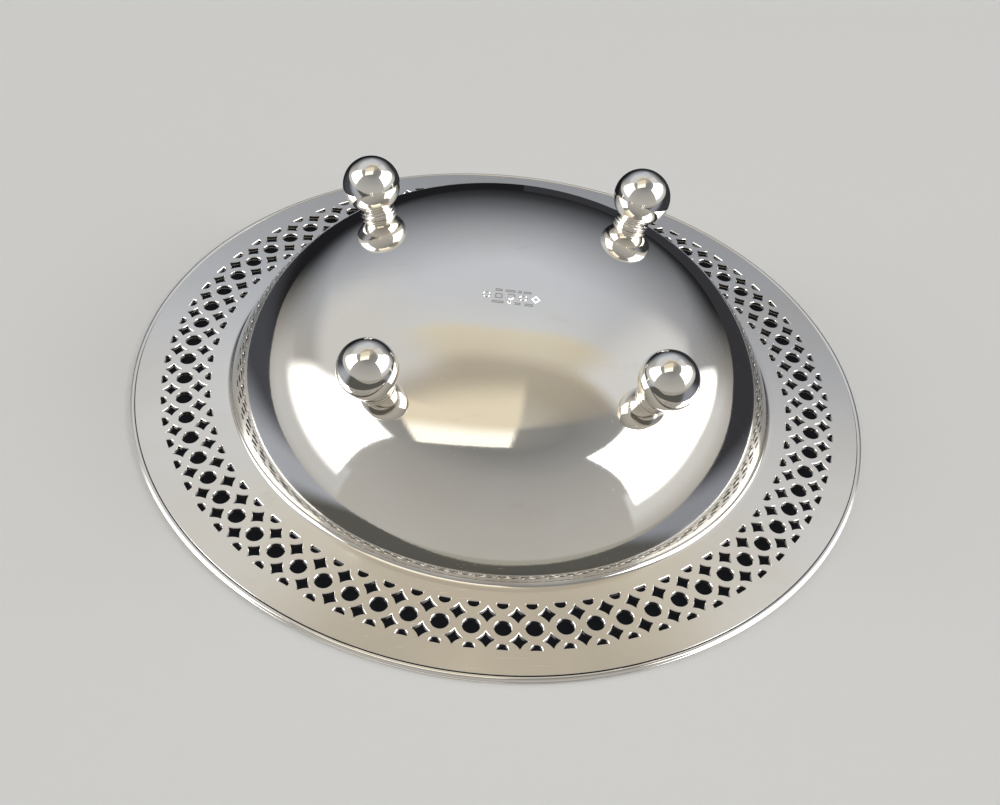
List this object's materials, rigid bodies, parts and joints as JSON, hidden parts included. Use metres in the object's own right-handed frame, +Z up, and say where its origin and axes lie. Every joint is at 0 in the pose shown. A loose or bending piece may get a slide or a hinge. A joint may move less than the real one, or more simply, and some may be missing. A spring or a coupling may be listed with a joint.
{
  "type": "footed dish",
  "caption": "Round polished silver dish with a deep rounded well, a wide sloping rim pierced with a band of openwork, and small ball feet.",
  "frame": {"origin": "on the table, under the middle of the dish, level with the flats under the ball feet", "axes": "+Z up with the feet down, -Y to the front, and the feet on the diagonals between X and Y"},
  "size_m": [0.16, 0.1598, 0.0399],
  "materials": {
    "bright_silver": "silver polished to a mirror, with fine hairlines from cleaning",
    "rim_silver": "polished silver sheet, a little softer than the well, with bright sawn edges round the holes"
  },
  "bodies": {
    "root": {"well": "bright_silver", "pierced_rim": "rim_silver", "edge_wire": "bright_silver", "foot_front_right_collar": "bright_silver", "foot_front_right_ball": "bright_silver", "foot_back_right_collar": "bright_silver", "foot_back_right_ball": "bright_silver", "foot_back_left_collar": "bright_silver", "foot_back_left_ball": "bright_silver", "foot_front_left_collar": "bright_silver", "foot_front_left_ball": "bright_silver"}
  },
  "joints": []
}
